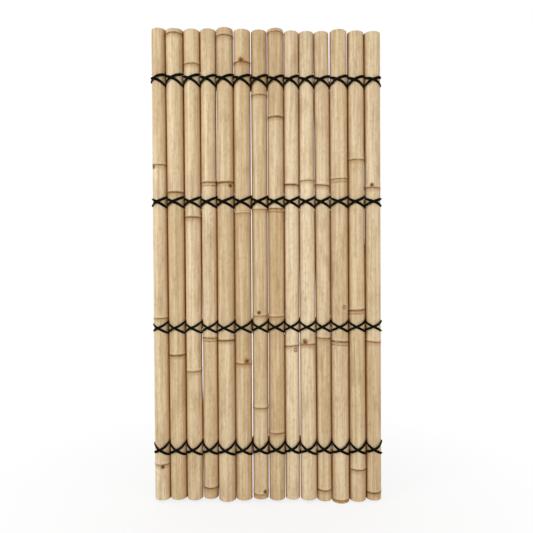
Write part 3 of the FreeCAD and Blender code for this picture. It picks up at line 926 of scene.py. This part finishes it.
def culmRows(index):
    pole = poles[index]
    looks = culms[index]
    length = pole["length"] * 1000
    scars = [node + doubleShift * twin for node, twin in zip(looks["nodes"], looks["double"])]
    marks = looks["marks"] or [noMark]
    rings = culmRings(pole, looks, scars)

    # where the nearest scar or mark changes, two rows stand close, so that nothing shows between
    spare = culmCut["closeRows"]
    for stops in (scars, [mark[0] for mark in marks]):
        for low, high in zip(sorted(stops), sorted(stops)[1:]):
            middle = (low + high) / 2
            below = max(k for k, ring in enumerate(rings) if ring[0] < middle and ring[2] == 1)
            first, second = rings[below:below + 2]
            share = (middle - first[0]) / (second[0] - first[0])
            radius = first[1] + (second[1] - first[1]) * share
            rings[below + 1:below + 1] = [(middle - spare, radius, 1, 0),
                                          (middle + spare, radius, 1, 0)]

    values = []
    for height, radius, onSkin, onCut in rings:
        near = min(range(len(scars)), key=lambda k: abs(height - scars[k]))
        gap = height - scars[near]
        mark = min(marks, key=lambda m: abs(height - m[0]))
        askew = looks["rise"][near] * max(0, 1 - abs(gap) / culmCut["askewReach"])
        fromEnd = max(0, min(height, length - height) - culmCut["endSpare"])
        room = min(1, fromEnd / culmCut["endFade"]) * onSkin
        values.append({
            "rowHeight": height / 1000, "rowRadius": radius / 1000,
            "rowLeft": flankRadius(index, index - 1, height, radius),
            "rowRight": flankRadius(index, index + 1, height, radius),
            "rowSkin": onSkin, "rowCut": onCut, "rowRise": askew * room / 1000,
            "rowWobble": room * max(0, 1 - abs(gap) / culmCut["wobbleReach"]),
            "rowBud": onSkin * (mark[2] in culmCut["raised"]),
            "nodeGap": gap / 1000 if onSkin else 1, "nodeDouble": looks["double"][near],
            "nodeDark": looks["scars"][near], "markTurn": math.radians(mark[1]),
            "markHeight": mark[0] / 1000, "markKind": mark[2],
            "pale": looks["pale"][sum(height > scar for scar in scars)]})
    return rowMesh(f"culm{index + 1:02d}Rows", values)


def addCulms():
    tree = culmTree()
    material = culmMaterial()
    for index, pole in enumerate(poles):
        culm = grow(f"culm{index + 1:02d}", culmRows(index), tree, {
            "Foot": pole["foot"], "Upward": (pole["top"] - pole["foot"]).normalized(),
            "Points Around": culmCut["pointsAround"], "Oval": culmCut["oval"],
            "Uneven": culmCut["uneven"], "Seed": float(index * 3 + 1),
            "Wobble": culmCut["wobble"] / 1000, "Bud Rise": culmCut["budRise"] / 1000,
            "Bud Spread": culmCut["budSpread"] / 1000,
            "Flank Power": float(culmCut["flankPower"]), "Left Neighbour": float(index > 0),
            "Right Neighbour": float(index < len(poles) - 1), "Material": material})
        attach(culm, "root")
        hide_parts(f"pole_{index + 1:02d}")
    print("culms grown")


addCulms()


# Laths

lathCut = {
    "radius": 25,
    "wall": 7,
    "pointsAround": 28,
    "rowStep": 22,
    "ringRows": (-2.6, -0.4, 3.2),
    "ringFull": 1.6,
    "sunk": 0.5,
    "edgeRound": 1.0,
    "edgeSteps": 2,
    "edgeAngle": 50,
    "webHeight": 2.6,
    "webHalf": 2.5,
    "webFade": 1.0,
    "webPower": 4.0,
}
lathLook = {
    "brown": hexColor(184, 148, 100),
    "pale": hexColor(214, 186, 142),
    "streak": hexColor(140, 100, 58),
    "raw": hexColor(212, 180, 130),
    "rawStreak": hexColor(160, 120, 74),
    "streaks": 0.5,
    "clouds": 0.35,
    "ragged": (0.0016, -0.0008),
    "scar": (0.0, 0.0008, 0.0012),
    "scarShare": 0.85,
    "above": (0.0005, 0.002, 0.003, 0.012),
    "aboveShare": 0.45,
    "rawGrain": (0.02, 700.0),
    "rawLimits": (0.4, 0.65),
    "shine": (0.0, 1.0, 0.8, 0.45),
    "bump": 0.5,
    "bumpDepth": 0.0008,
    "specular": 0.4,
}


def lathTree():
    tree, given = startTree("lath", {"Radius": "Float", "Wall": "Float", "Height": "Float",
                                     "Points Around": "Int", "Material": "Material"})
    body = sweepRings(tree, given, True)
    share = calc(tree, "DIVIDE", readValue(tree, "turn"), 2 * math.pi)
    radius = given["Radius"]
    inner = calc(tree, "SUBTRACT", radius, given["Wall"])
    reach = calc(tree, "ARCSINE", calc(tree, "DIVIDE", times(tree, given["Height"], 0.5), radius))

    # the first half of the ring runs up the skin, the second half back down the hollow side
    last = calc(tree, "SUBTRACT", 0.5, calc(tree, "DIVIDE", 1.0, given["Points Around"]))
    outside = calc(tree, "LESS_THAN", share, 0.499)
    hollow = calc(tree, "SUBTRACT", 1.0, outside)
    up = calc(tree, "DIVIDE", share, last)
    down = calc(tree, "DIVIDE", calc(tree, "SUBTRACT", share, 0.5), last)
    down = calc(tree, "SUBTRACT", 1.0, down)
    along = calc(tree, "ADD", times(tree, up, outside), times(tree, down, hollow))
    angle = times(tree, calc(tree, "MULTIPLY_ADD", along, 2.0, -1.0), reach)

    # rings on the skin, and at each node a web on the hollow side that dies away at the edges
    out = calc(tree, "ADD", radius, readValue(tree, "rowRing"))
    edge = calc(tree, "POWER", calc(tree, "DIVIDE", angle, reach), lathCut["webPower"])
    inside = calc(tree, "SUBTRACT", inner, readValue(tree, "rowWeb"))
    inside = times(tree, calc(tree, "SUBTRACT", inside, inner), calc(tree, "SUBTRACT", 1.0, edge))
    inside = calc(tree, "ADD", inner, inside)
    size = calc(tree, "ADD", times(tree, out, outside), times(tree, inside, hollow))
    depth = calc(tree, "SUBTRACT", times(tree, size, calc(tree, "COSINE", angle)),
                 times(tree, inner, calc(tree, "COSINE", reach)))
    offset = combine(tree, 0.0, depth, times(tree, size, calc(tree, "SINE", angle)))
    where = calcVector(tree, "ADD", offset, readValue(tree, "rowPlace", "FLOAT_VECTOR"))
    body = keepValue(tree, body, "rowSkin", outside)
    return closeTree(tree, body, where, given["Material"])


def lathMaterial():
    look = lathLook
    material, tree = startMaterial("lathSplit")
    where = place(tree, "ShaderNodeTexCoord").outputs["Object"]
    # the fibres of a lath run across the panel
    across, inward, upward = place(tree, "ShaderNodeSeparateXYZ", {0: where}).outputs
    turned = combine(tree, upward, inward, across)
    color = mixColor(tree, attribute(tree, "pale"), look["brown"], look["pale"])
    fibre = place(tree, "ShaderNodeGroup", {"Vector": turned, "Color": color,
                  "Dark": look["streak"], "Streaks": look["streaks"], "Clouds": look["clouds"]},
                  node_tree=fibres).outputs
    ragged = noise(tree, where, *skinLook["raggedNoise"])
    gap = calc(tree, "ADD", attribute(tree, "nodeGap"),
               calc(tree, "MULTIPLY_ADD", ragged, *look["ragged"]))
    onSkin = attribute(tree, "rowSkin")
    color = tint(tree, fibre["Color"], skinLook["scar"], band(tree, gap, *look["scar"]), onSkin,
                 look["scarShare"])
    color = tint(tree, color, skinLook["overRing"], between(tree, gap, *look["above"]), onSkin,
                 look["aboveShare"])
    raw = mapShare(tree, grain(tree, turned, *look["rawGrain"]), *look["rawLimits"])
    raw = mixColor(tree, raw, look["raw"], look["rawStreak"])
    color = mixColor(tree, onSkin, raw, color)
    finishMaterial(tree, color, mapShare(tree, onSkin, *look["shine"]), fibre["Height"], look)
    return material


def lathRows(row):
    line = rows[row]
    looks = laths[row]
    length = (line["right"] - line["left"]) * 1000
    steps, rises = zip(*singleRing)
    places = set(np.linspace(0, length, round(length / lathCut["rowStep"]) + 1))
    for node in looks["nodes"]:
        places |= {node + step for step in (*steps, *lathCut["ringRows"])}
    rings = []
    for spot in sorted(spot for spot in places if 0 <= spot <= length):
        near = min(looks["nodes"], key=lambda node: abs(spot - node))
        across = line["left"] + spot / 1000
        web = (lathCut["webHalf"] + lathCut["webFade"] - abs(spot - near)) / lathCut["webFade"]
        ring = np.interp(spot - near, steps, rises, 0, 0) / lathCut["ringFull"]
        rings.append({
            "rowPlace": (across, line["seat"], levelOf(line, across)),
            "rowRing": -lathCut["sunk"] * (1 - ring) / 1000,
            "rowWeb": lathCut["webHeight"] * max(0, min(1, web)) / 1000,
            "nodeGap": (spot - near) / 1000,
            "pale": looks["pale"][sum(spot > node for node in looks["nodes"])]})
    return rowMesh(f"lath{row}Rows", rings)


def addLaths():
    tree = lathTree()
    material = lathMaterial()
    for row in laths:
        lath = grow(f"{row}Lath", lathRows(row), tree, {
            "Radius": lathCut["radius"] / 1000, "Wall": lathCut["wall"] / 1000,
            "Height": rows[row]["height"], "Points Around": lathCut["pointsAround"],
            "Material": material})
        bevel = lath.modifiers.new("edges", "BEVEL")
        bevel.width = lathCut["edgeRound"] / 1000
        bevel.segments = lathCut["edgeSteps"]
        bevel.limit_method = "ANGLE"
        bevel.angle_limit = math.radians(lathCut["edgeAngle"])
        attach(lath, "root")
        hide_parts(f"lath_{row}")
    print("laths split")


addLaths()


# Cords

cordCut = {
    "width": 8.5,
    "thickness": 2.8,
    "gathered": 5,
    "clearance": 0.35,
    "crossing": 1.6,
    "laneGap": 2.2,
    "endInset": 18,
    "tail": 14,
    "bend": 22.5,
    "meeting": 3.0,
    "fullness": {"top": 10.8, "upper": 10.4, "lower": 9.1, "bottom": 9.8},
    "straying": 1.3,
    "yarns": 2,
    "layLength": 9,
    "yarnDepth": 0.16,
    "plump": 1.08,
    "leastHalf": 0.3,
    "skinSpare": 0.1,
    "levelling": (0.3, 0.7),
    "pointsAround": 12,
    "curveSteps": 11,
    "closest": 0.2,
    "dive": 0.52,
    "sag": {"top": 3.4, "upper": 3.8, "lower": 3.4, "bottom": 1.8},
    "leftEnd": {"top": 9, "upper": 0, "lower": 2, "bottom": 0},
    "rightEnd": {"top": 9, "upper": 7, "lower": 3, "bottom": 2},
    "arch": {"top": 4.5, "upper": 1.5, "lower": -1, "bottom": -4},
    "upperDrop": {"top": 3, "upper": 0, "lower": 0, "bottom": 0},
    "seed": 11,
    "looseness": 14,
    "frontFrom": 14,
    "frontFade": 12,
    "endHug": 1.7,
    "endReach": 9,
    "endSwell": 0.6,
}
cordLook = {
    # painted shade: deep is the cord darkened in the grooves between its yarns; ridge is its own
    # colour
    "yarnGrooveShade": hexColor(3, 3, 2),
    "ridge": hexColor(26, 26, 21),
    "dust": hexColor(50, 48, 38),
    "ridgeLimits": (0.1, 0.9),
    "dustNoise": (60.0, 3.0),
    "dustLimits": (0.5, 0.8),
    "dustShare": 0.5,
    "fineNoise": (1400.0, 2.0),
    "fineHeight": 0.4,
    "shine": (0.3, 0.7, 0.45, 0.7),
    "bump": 0.5,
    "bumpDepth": 0.0005,
    "specular": 0.0,
}


def widestNear(pole, height, reach):
    taper = abs(pole["topRadius"] - pole["footRadius"]) / pole["length"]
    widest = radiusAt(pole, height) + taper * reach
    up = height - pole["foot"].z
    for node in pole["nodes"]:
        low = (node - culmCut["ringBelow"]) / 1000
        high = (node + culmCut["ringAbove"]) / 1000
        if low < up + reach and high > up - reach:
            widest += culmCut["ringRise"] / 1000
    return widest


def cordRoute(row, over):
    # across each culm, back through the gap, round the lath and out again, as the solid runs
    line = rows[row]
    side = 1 if over else -1
    last = len(poles) - 1

    def size(key):
        # in metres, and the row's own where rows differ
        value = cordCut[key]
        return (value[row] if isinstance(value, dict) else value) / 1000

    clear, thick, gathered = size("clearance"), size("thickness"), size("gathered")
    near = line["height"] / 2 + clear + gathered / 2
    far = near + gathered + size("laneGap")
    leaving, entering = side * far, -side * near
    offset = side * (thick + clear) / 2
    lift = size("crossing") + thick if over else 0
    behind = line["crown"] + clear + gathered / 2
    eighth = math.tan(math.radians(cordCut["bend"]))
    middle = levelOf(line, (poles[0]["foot"].x + poles[last]["foot"].x) / 2)
    axes = [axisAt(pole, middle) for pole in poles]
    radii = [widestNear(pole, levelOf(line, axis.x), size("width") / 2)
             / math.cos(math.pi / culmCut["flats"]) + clear + thick / 2
             for pole, axis in zip(poles, axes)]

    # each gap's turns stray a little, both cords' together
    chance = random.Random(cordCut["seed"] + len(row))
    strays = [chance.uniform(-1, 1) * cordCut["straying"] / 1000 for turn in range(2 * last + 4)]

    def point(across, depth, above):
        return Vector((across, depth, levelOf(line, across) + above))

    def gapMiddle(index, above):
        height = levelOf(line, axes[max(index, 0)].x) + above
        if index < 0:
            return axisAt(poles[0], height).x - radii[0] + size("endHug")
        if index == last:
            return axisAt(poles[last], height).x + radii[last] - size("endHug")
        left, right = poles[index], poles[index + 1]
        return (axisAt(left, height).x + radiusAt(left, height)
                + axisAt(right, height).x - radiusAt(right, height)) / 2

    def throat(index, gap, above, forward):
        depth = axes[index].y - forward * radii[index]
        return point(gapMiddle(gap, above), depth, above)

    def frontLevels(index):
        # how high the cord comes out in front of a culm, and how high it leaves: a soft cord's two
        # lanes come closer where both dive into a gap, and sag a little
        closer = side * size("meeting")
        start, end = entering + closer - size("sag"), leaving - closer - size("sag")
        if over:
            end -= size("upperDrop")
        else:
            start -= size("upperDrop")
        start += strays[2 * index + (start < 0)]
        end += strays[2 * index + 2 + (end < 0)]
        # at a row's ends, the last turns run nearer to the middle
        if index == 0:
            start += side * size("leftEnd")
        if index == last:
            end -= side * size("rightEnd")
        loose = size("looseness")
        start = entering + min(loose, max(-loose, start - entering))
        end = leaving + min(loose, max(-loose, end - leaving))
        return start, end

    levels = [frontLevels(index) for index in range(len(poles))]
    leftTail = gapMiddle(-1, entering) + size("endInset") + offset
    rightTail = gapMiddle(last, leaving) - size("endInset") + offset
    tail = side * size("tail")
    route = [point(leftTail, behind, entering + tail), point(leftTail, behind, entering),
             throat(0, -1, levels[0][0], -eighth)]
    for index, (start, end) in enumerate(levels):
        fall = (end - start) / 3
        half = eighth * (radii[index] + lift)
        front = axes[index].y - radii[index] - lift
        route += [throat(index, index - 1, entering if index else start, 0),
                  throat(index, index - 1, start, cordCut["dive"]),
                  point(axes[index].x - half, front, start + fall + size("arch")),
                  point(axes[index].x + half, front, end - fall + size("arch")),
                  throat(index, index, end, cordCut["dive"]),
                  throat(index, index, leaving if index < last else end, 0)]
        if index < last:
            across = (gapMiddle(index, leaving) + gapMiddle(index, entering)) / 2 + offset
            route += [point(across, behind, leaving), point(across, behind, entering)]
    route += [throat(last, last, levels[last][1], -eighth),
              point(rightTail, behind, leaving), point(rightTail, behind, leaving - tail)]
    return route


def splinePoints(route):
    curve = bpy.data.curves.new("cordLine", "CURVE")
    curve.dimensions = "3D"
    curve.resolution_u = cordCut["curveSteps"]
    spline = curve.splines.new("NURBS")
    spline.points.add(len(route) - 1)
    for dot, where in zip(spline.points, route):
        dot.co = (*where, 1)
    spline.order_u = 3
    spline.use_endpoint_u = True
    line = bpy.data.objects.new("cordLine", curve)
    bpy.context.scene.collection.objects.link(line)
    evaluated = line.evaluated_get(bpy.context.evaluated_depsgraph_get())
    mesh = bpy.data.meshes.new_from_object(evaluated)
    points = [v.co.copy() for v in mesh.vertices]
    bpy.data.meshes.remove(mesh)
    bpy.data.objects.remove(line)
    kept = [points[0]]
    for dot in points[1:]:
        if (dot - kept[-1]).length > cordCut["closest"] / 1000:
            kept.append(dot)
    return kept


def roomBeside(where):
    # from a point to the nearest culm's skin
    rooms = []
    for index, pole in enumerate(poles):
        axis = axisAt(pole, where.z)
        away = math.hypot(where.x - axis.x, where.y - axis.y)
        radius = radiusAt(pole, where.z) + culmCut["swell"] / 1000
        sine = (where.x - axis.x) / away
        other = index + 1 if sine > 0 else index - 1
        flank = flankRadius(index, other, (where.z - pole["foot"].z) * 1000, radius * 1000)
        rooms.append(away - radius - (flank - radius) * abs(sine) ** culmCut["flankPower"])
    return min(rooms)


def cordFlats(runs):
    # the way that each ring is thin, which turns level bit by bit from ring to ring
    kept, turned = cordCut["levelling"]
    flats = []
    flat = Vector((1, 0, 0))
    for run in runs:
        level = Vector((run.y, -run.x, 0))
        if level.dot(flat) < 0:
            level = -level
        flat = flat * kept + level * turned
        flat = (flat - run * flat.dot(run)).normalized()
        flats.append(flat)
    return flats


def strandRows(name, points, inFront, strand, fullness):
    # one of the cord's two strands: each ring's middle, its thin and wide half widths, and how far
    # its yarns have turned; between two culms it is squeezed to the room that it has
    count = len(points)
    runs = [(points[min(k + 1, count - 1)] - points[max(k - 1, 0)]).normalized()
            for k in range(count)]
    most = cordCut["thickness"] / 2000 * cordCut["plump"]
    endAcross = max(abs(where.x) for where in points)
    travelled = 0
    rings = []
    for k, (where, flat) in enumerate(zip(points, cordFlats(runs))):
        if k:
            travelled += (where - points[k - 1]).length
        room = roomBeside(where) - cordCut["skinSpare"] / 1000
        half = max(cordCut["leastHalf"] / 1000, min(most, room))
        width = cordCut["gathered"] + (fullness - cordCut["gathered"]) * inFront[k]
        beyond = max(0, 1 - (endAcross - abs(where.x)) * 1000 / cordCut["endReach"])
        knot = 1 + cordCut["endSwell"] * min(1, beyond)
        outward = Vector((math.copysign(half * (knot - 1), where.x), 0, 0))
        across = runs[k].cross(flat)
        rings.append({
            "rowPlace": where + outward + across * (strand * width / 4000),
            "rowThin": flat * (half * knot),
            "rowWide": across * (width / 4000 * cordCut["plump"]),
            "rowTwist": travelled * 1000 / cordCut["layLength"] * 2 * math.pi + strand})
    return rowMesh(name, rings)


def shareInFront(where):
    # 1 where a cord lies on a culm's front, 0 once it is in a gap
    middle = axisAt(min(poles, key=lambda pole: abs(axisAt(pole, where.z).x - where.x)), where.z)
    front = (middle.y - where.y) * 1000 - cordCut["frontFrom"]
    return min(1, max(0, front / cordCut["frontFade"]))


def cordTree():
    tree, given = startTree("laidCord", {"Points Around": "Int", "Yarns": "Float",
                                         "Yarn Depth": "Float", "Material": "Material"})
    body = sweepRings(tree, given, True)
    turn = readValue(tree, "turn")
    lobe = calc(tree, "SUBTRACT", turn, readValue(tree, "rowTwist"))
    lobe = calc(tree, "ABSOLUTE", calc(tree, "COSINE", times(tree, lobe, given["Yarns"], 0.5)))
    groove = times(tree, calc(tree, "SUBTRACT", 1.0, lobe), given["Yarn Depth"])
    size = calc(tree, "SUBTRACT", 1.0, groove)
    thin, wide = [scaleVector(tree, readValue(tree, name, "FLOAT_VECTOR"),
                              times(tree, size, calc(tree, wave, turn)))
                  for name, wave in (("rowThin", "COSINE"), ("rowWide", "SINE"))]
    where = calcVector(tree, "ADD", calcVector(tree, "ADD", thin, wide),
                       readValue(tree, "rowPlace", "FLOAT_VECTOR"))
    body = keepValue(tree, body, "groove", lobe)
    return closeTree(tree, body, where, given["Material"])


def cordMaterial():
    look = cordLook
    material, tree = startMaterial("tarredCord")
    where = place(tree, "ShaderNodeTexCoord").outputs["Object"]
    lobe = attribute(tree, "groove")
    fine = noise(tree, where, *look["fineNoise"])
    # painted shade, darker down in the grooves between the yarns
    color = mixColor(tree, mapShare(tree, lobe, *look["ridgeLimits"]), look["yarnGrooveShade"], look["ridge"])
    dust = mapShare(tree, noise(tree, where, *look["dustNoise"]), *look["dustLimits"])
    color = tint(tree, color, look["dust"], dust, look["dustShare"])
    height = calc(tree, "ADD", times(tree, fine, look["fineHeight"]), lobe)
    finishMaterial(tree, color, mapShare(tree, fine, *look["shine"]), height, look)
    return material


def addCords():
    tree = cordTree()
    material = cordMaterial()
    for row in laths:
        for over in (False, True):
            name = f"{row}Cord{'Over' if over else 'Under'}"
            points = splinePoints(cordRoute(row, over))
            inFront = [shareInFront(where) for where in points]
            strands = []
            for strand in (-1, 1):
                rings = strandRows(name + "Rows", points, inFront, strand,
                                   cordCut["fullness"][row])
                strands.append(grow(name, rings, tree, {
                    "Points Around": cordCut["pointsAround"], "Yarns": float(cordCut["yarns"]),
                    "Yarn Depth": cordCut["yarnDepth"], "Material": material}))
            cord = joinPieces(strands)
            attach(cord, "root")
            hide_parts(f"cord_{row}_{'over' if over else 'under'}")
            print(name, len(points), "rings", len(cord.data.vertices), "points")
    print("cords laced")


addCords()

total = sum(len(p.vertices) - 2 for o in bpy.data.objects if o.type == "MESH"
            and not o.get("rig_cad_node") for p in o.data.polygons)
print("triangles:", total)
